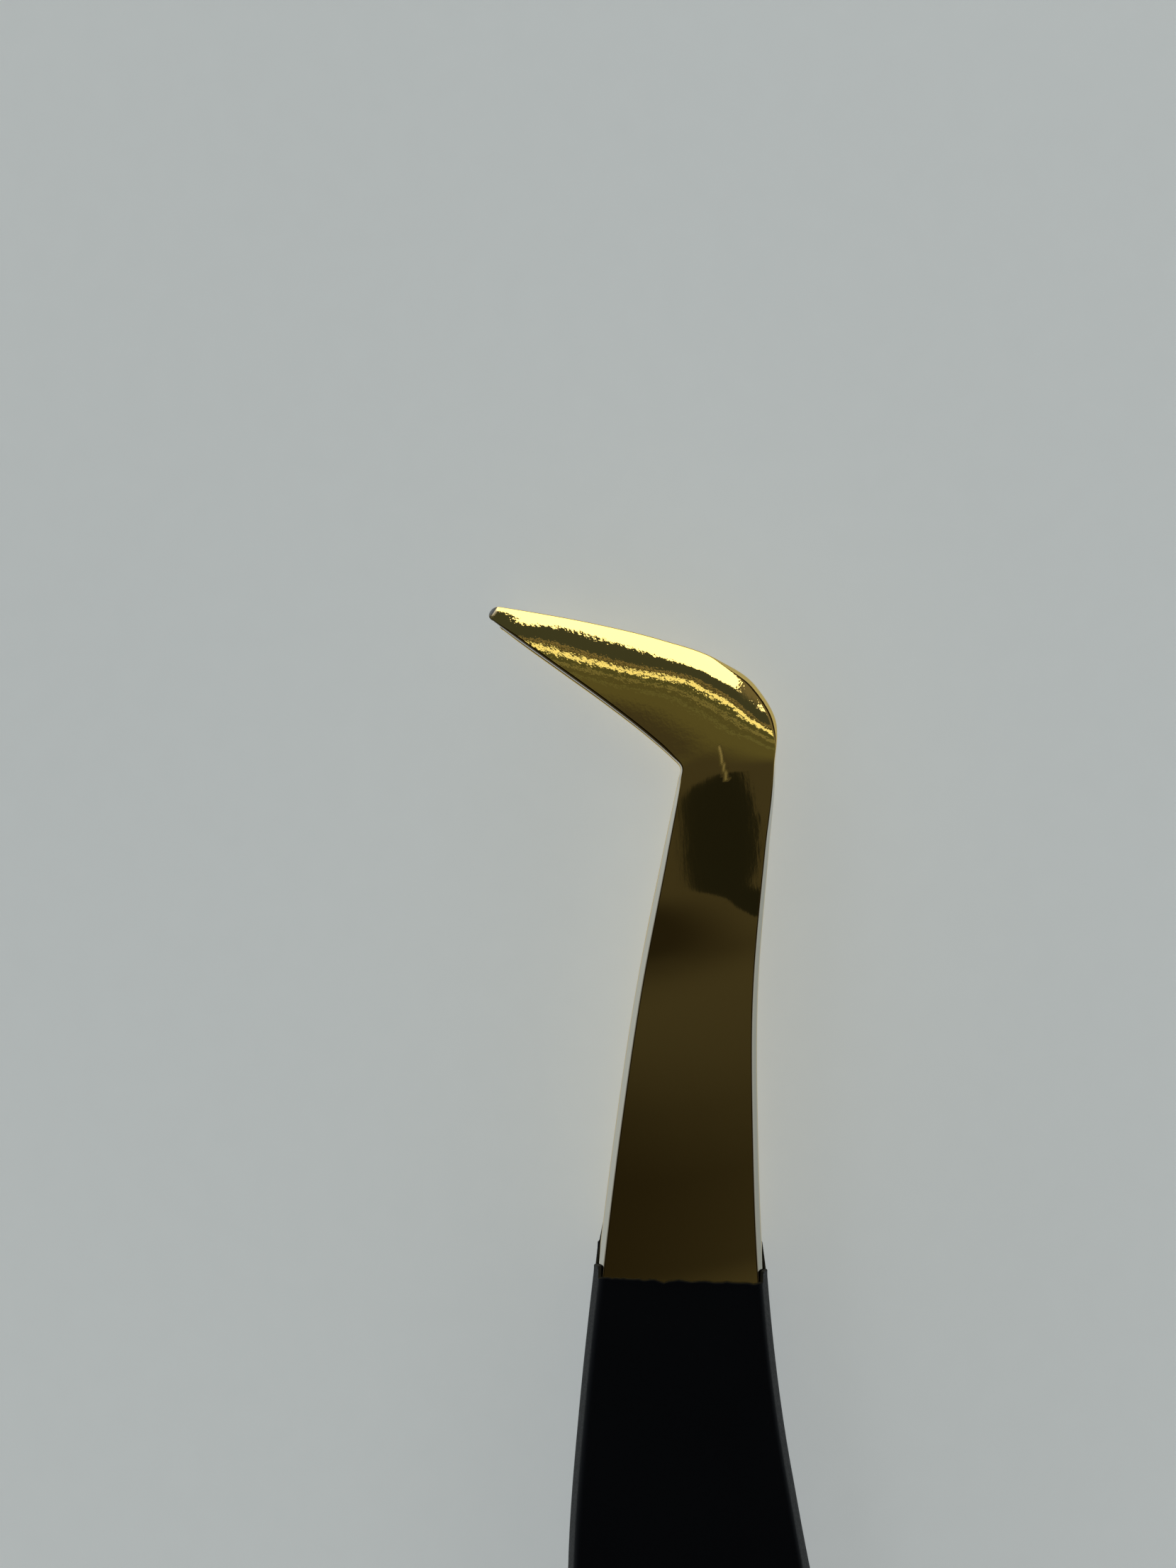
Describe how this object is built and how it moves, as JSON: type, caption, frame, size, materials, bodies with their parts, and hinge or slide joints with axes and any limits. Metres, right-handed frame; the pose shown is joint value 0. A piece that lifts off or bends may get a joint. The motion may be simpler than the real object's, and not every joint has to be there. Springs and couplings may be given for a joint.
{
  "type": "boot-nosed stamp tongs",
  "caption": "Boot-nosed tongs with two sprung plated steel arms on a tail spacer and black coated grips, for lifting stamps.",
  "frame": {"origin": "bottom centre of the box round both arms, on the surface that the tongs lie on", "axes": "+X from the tail to the points, +Y to the side that the boot points to, +Z from the lower arm to the upper arm"},
  "size_m": [0.1204, 0.0116, 0.0107],
  "materials": {
    "gold_plating": "polished steel with a gold-coloured nitride plating",
    "black_coat": "satin black powder coat",
    "spacer_steel": "steel with black coat on its edges"
  },
  "bodies": {
    "tail": {"tail_spacer": "spacer_steel"},
    "upper_arm": {"upper_arm": "gold_plating", "upper_coat": "black_coat"},
    "lower_arm": {"lower_arm": "gold_plating", "lower_coat": "black_coat"}
  },
  "joints": [
    {"name": "upper_arm_flex", "type": "hinge", "parent": "tail", "child": "upper_arm", "pos_m": [-0.04905, 0.00053, 0.00604], "axis": [0, 1, 0], "range_deg": [0, 1.8], "stiffness_Nm_per_rad": 3},
    {"name": "lower_arm_flex", "type": "hinge", "parent": "tail", "child": "lower_arm", "pos_m": [-0.04905, 0.00053, 0.00464], "axis": [0, -1, 0], "range_deg": [0, 1.8], "stiffness_Nm_per_rad": 3}
  ]
}
